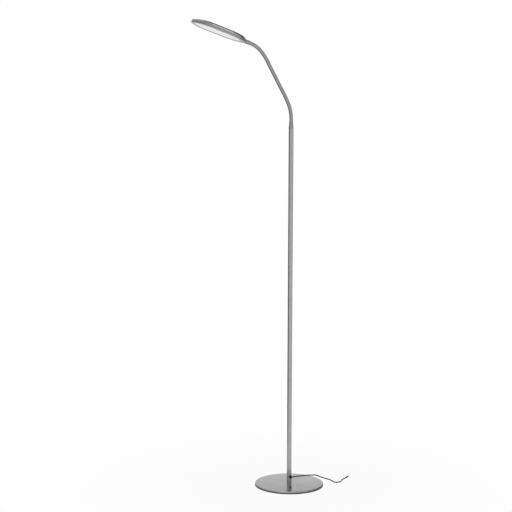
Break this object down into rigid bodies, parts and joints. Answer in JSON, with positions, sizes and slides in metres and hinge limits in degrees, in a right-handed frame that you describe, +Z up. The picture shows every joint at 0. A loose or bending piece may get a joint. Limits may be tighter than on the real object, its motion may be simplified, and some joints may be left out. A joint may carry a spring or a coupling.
{
  "type": "gooseneck reading floor lamp",
  "caption": "Slim floor lamp with a round base, a straight pole and a flexible neck that holds a long flat LED head.",
  "frame": {"origin": "middle of the base's underside, on the pole's axis", "axes": "+Z up along the pole; the head reaches out towards -Y; the cord leaves the pole towards +X"},
  "size_m": [0.23, 0.5921, 1.5375],
  "materials": {
    "base_steel": "satin grey metallic coat",
    "satin_steel": "satin",
    "neck_metal": "satin, a little darker than the pole",
    "head_metal": "satin",
    "zinc_steel": "zinc plated",
    "pad_foam": "matt soft foam rubber",
    "black_rubber": "matt",
    "cord_jacket": "smooth matt jacket",
    "black_plastic": "fine matt grain",
    "contact_metal": "nickel plated",
    "opal_plastic": "opal, lit from behind",
    "white_plastic": "matt white",
    "circuit_board": "white solder mask",
    "chip_resin": "yellow phosphor"
  },
  "bodies": {
    "stand": {"base_plate": "base_steel", "base_pad": "pad_foam", "base_bolt": "zinc_steel", "tapped_plugs": "zinc_steel", "joiner_studs": "zinc_steel", "pole_lower": "satin_steel", "pole_middle": "satin_steel", "pole_upper": "satin_steel", "cord_grommet": "black_rubber", "cord": "cord_jacket", "cord_connector": "black_plastic", "connector_tip": "contact_metal", "inner_lead": "cord_jacket", "neck_foot_ferrule": "neck_metal"},
    "neck_link_01": {"neck_link_01": "neck_metal"},
    "neck_link_02": {"neck_link_02": "neck_metal"},
    "neck_link_03": {"neck_link_03": "neck_metal"},
    "neck_link_04": {"neck_link_04": "neck_metal"},
    "neck_link_05": {"neck_link_05": "neck_metal"},
    "neck_link_06": {"neck_link_06": "neck_metal"},
    "neck_link_07": {"neck_link_07": "neck_metal"},
    "neck_link_08": {"neck_link_08": "neck_metal"},
    "head": {"neck_collar": "neck_metal", "head_top_shell": "head_metal", "head_frame": "head_metal", "diffuser": "opal_plastic", "reflector_tray": "white_plastic", "led_board": "circuit_board", "led_chips": "chip_resin", "control_board": "circuit_board", "push_switch": "black_plastic", "frame_screws": "zinc_steel", "neck_set_screw": "zinc_steel", "head_lead": "cord_jacket"},
    "power_button": {"power_button": "black_plastic"}
  },
  "joints": [
    {"name": "lower_bend", "type": "hinge", "parent": "stand", "child": "neck_link_01", "pos_m": [0, 0, 1.228], "axis": [1, 0, 0], "range_deg": [-8.5, 10]},
    {"name": "lower_bend_2", "type": "hinge", "parent": "neck_link_01", "child": "neck_link_02", "pos_m": [0, -0.0052, 1.26489], "axis": [1, 0, 0], "range_deg": [-8.5, 10]},
    {"name": "neck_swing", "type": "hinge", "parent": "neck_link_02", "child": "neck_link_03", "pos_m": [0, -0.02038, 1.2989], "axis": [0, 0.8868, 0.4622], "range_deg": [-10, 10]},
    {"name": "lower_bend_3", "type": "hinge", "parent": "neck_link_03", "child": "neck_link_04", "pos_m": [0, -0.03957, 1.33083], "axis": [1, 0, 0], "range_deg": [-8.5, 10]},
    {"name": "upper_bend", "type": "hinge", "parent": "neck_link_04", "child": "neck_link_05", "pos_m": [0, -0.05875, 1.36276], "axis": [1, 0, 0], "range_deg": [-13, 10]},
    {"name": "neck_swing_2", "type": "hinge", "parent": "neck_link_05", "child": "neck_link_06", "pos_m": [0, -0.07794, 1.39469], "axis": [0, 0.8572, 0.515], "range_deg": [-10, 10]},
    {"name": "upper_bend_2", "type": "hinge", "parent": "neck_link_06", "child": "neck_link_07", "pos_m": [0, -0.09712, 1.42662], "axis": [1, 0, 0], "range_deg": [-13, 10]},
    {"name": "upper_bend_3", "type": "hinge", "parent": "neck_link_07", "child": "neck_link_08", "pos_m": [0, -0.12211, 1.45425], "axis": [1, 0, 0], "range_deg": [-13, 10]},
    {"name": "neck_swing_3", "type": "hinge", "parent": "neck_link_08", "child": "head", "pos_m": [0, -0.15521, 1.47133], "axis": [0, 0.377, 0.9262], "range_deg": [-10, 10]},
    {"name": "power_button_press", "type": "slide", "parent": "head", "child": "power_button", "axis": [0, -0.2924, -0.9563], "range_m": [0, 0.0007], "stiffness_N_per_m": 1200, "springref_m": -0.0004}
  ],
  "couplings": [
    {"joint": "lower_bend_2", "follows": "lower_bend", "ratio": 1},
    {"joint": "lower_bend_3", "follows": "lower_bend", "ratio": 1},
    {"joint": "neck_swing_2", "follows": "neck_swing", "ratio": 1},
    {"joint": "upper_bend_2", "follows": "upper_bend", "ratio": 1},
    {"joint": "upper_bend_3", "follows": "upper_bend", "ratio": 1},
    {"joint": "neck_swing_3", "follows": "neck_swing", "ratio": 1}
  ]
}
